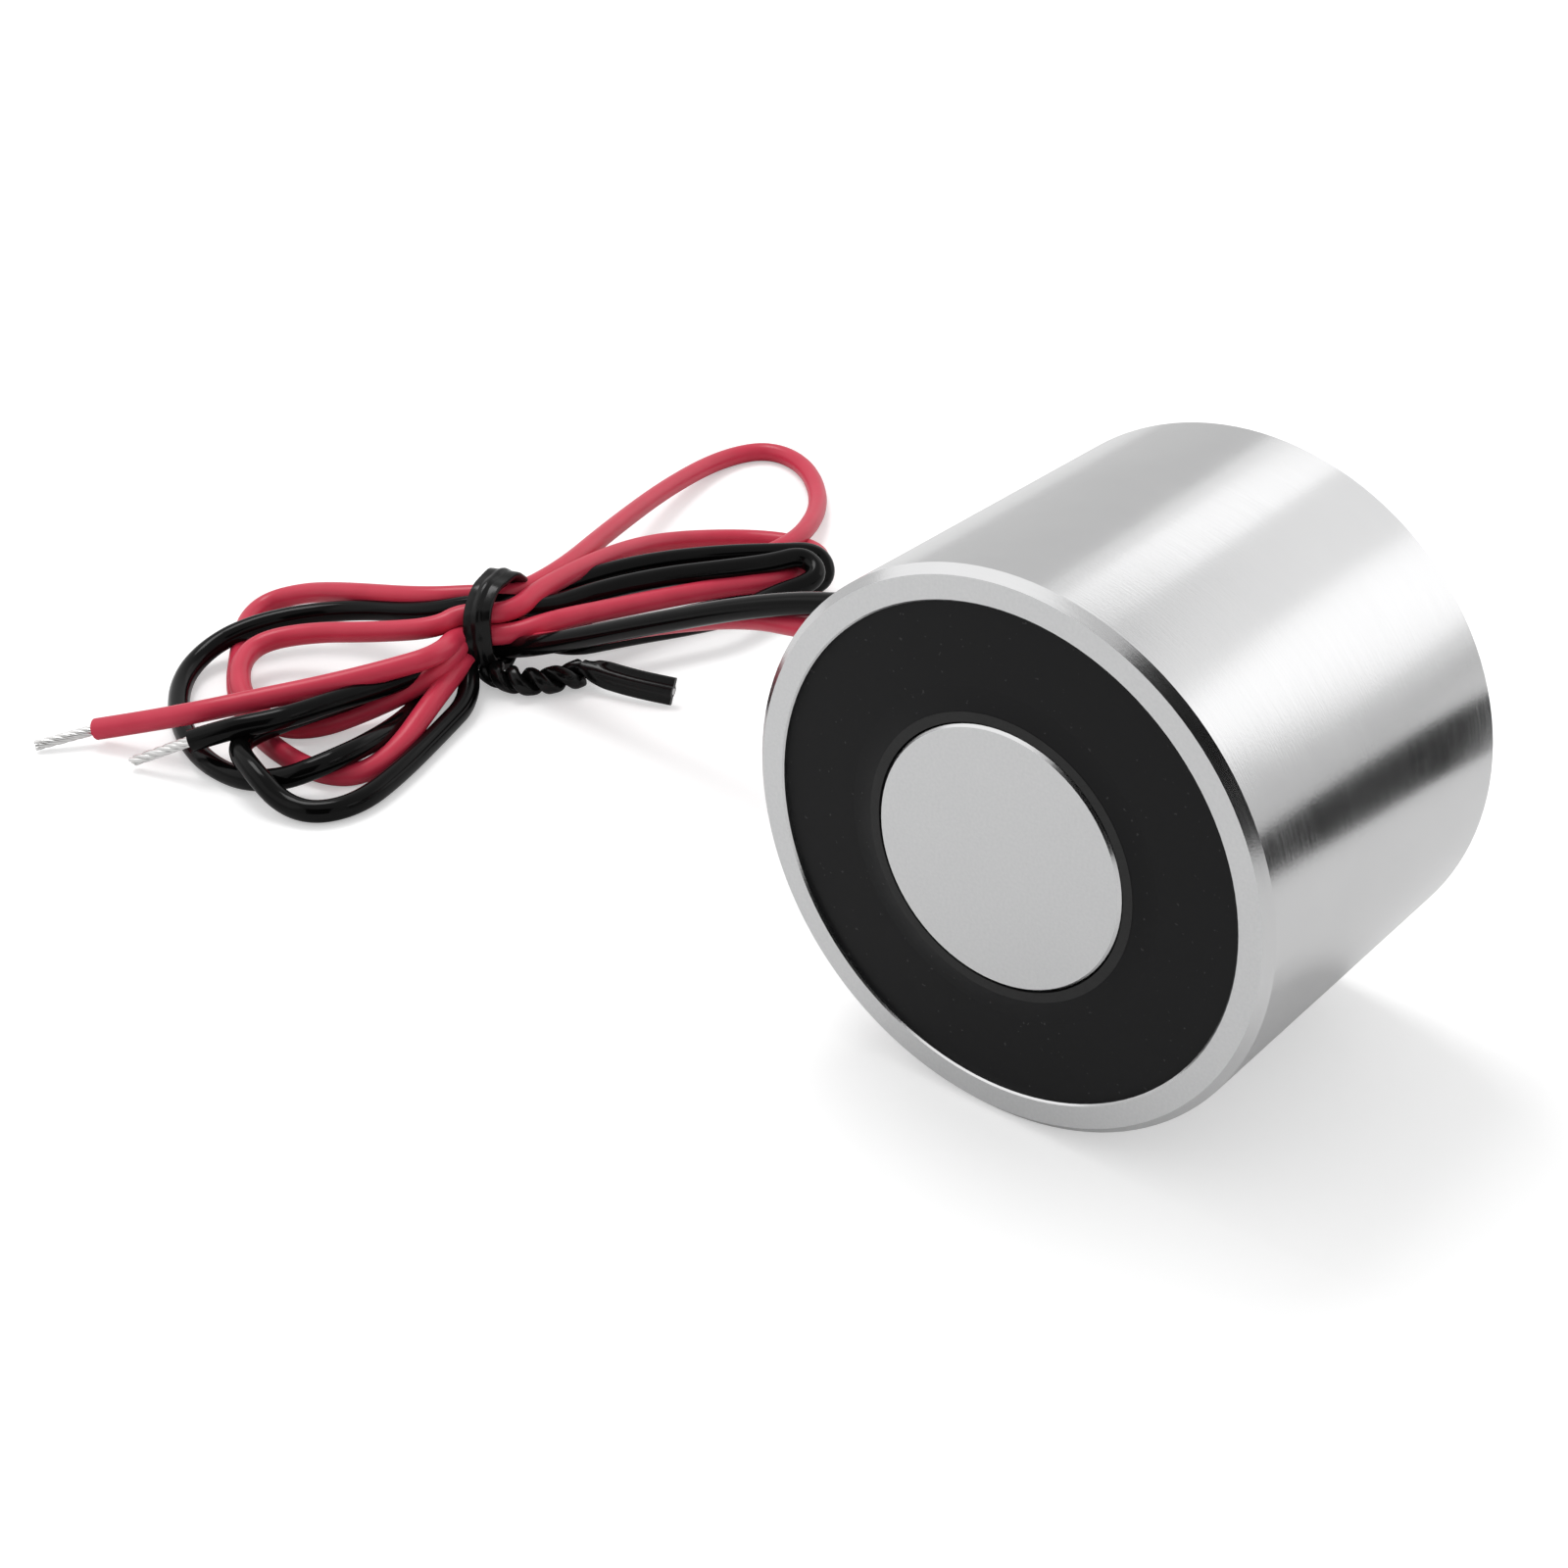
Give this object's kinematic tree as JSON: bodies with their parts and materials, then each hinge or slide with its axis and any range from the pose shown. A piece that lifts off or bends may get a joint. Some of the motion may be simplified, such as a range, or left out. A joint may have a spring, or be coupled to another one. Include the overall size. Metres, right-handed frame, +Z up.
{
  "type": "holding electromagnet",
  "caption": "Round pot electromagnet with a flat working face, resin-filled coil, threaded rear hole and two leads lying in a tied hank.",
  "frame": {"origin": "on the ground, under the middle of the pot, which lies on its round side", "axes": "+Y along the pot's axis from the working face to the threaded rear face, +Z up, leads towards -X"},
  "size_m": [0.097, 0.0748, 0.034],
  "materials": {
    "plated_steel": "bright plating over turned steel",
    "resin": "cast potting resin, satin",
    "bobbin_plastic": "moulded, satin",
    "enamelled_copper": "close-wound enamelled copper wire",
    "polyester_tape": "thin film tape",
    "red_insulation": "extruded insulation, soft gloss",
    "black_insulation": "extruded insulation, soft gloss",
    "tinned_copper": "stranded copper, tinned",
    "sleeve": "heat-shrunk sleeve",
    "bush_rubber": "moulded, matte",
    "tie_plastic": "flat moulded strap, soft gloss",
    "tie_steel": "drawn wire"
  },
  "bodies": {
    "root": {"pot": "plated_steel", "potting": "resin", "bobbin": "bobbin_plastic", "winding": "enamelled_copper", "winding_tape": "polyester_tape", "winding_start": "enamelled_copper", "winding_finish": "enamelled_copper", "red_splice": "tinned_copper", "black_splice": "tinned_copper", "red_splice_sleeve": "sleeve", "black_splice_sleeve": "sleeve", "lead_grommet": "bush_rubber", "red_lead": "red_insulation", "black_lead": "black_insulation", "lead_hank": "black_insulation", "red_end": "red_insulation", "black_end": "black_insulation", "red_tip": "tinned_copper", "black_tip": "tinned_copper", "twist_tie": "tie_plastic", "twist_tie_wire": "tie_steel"}
  },
  "joints": []
}
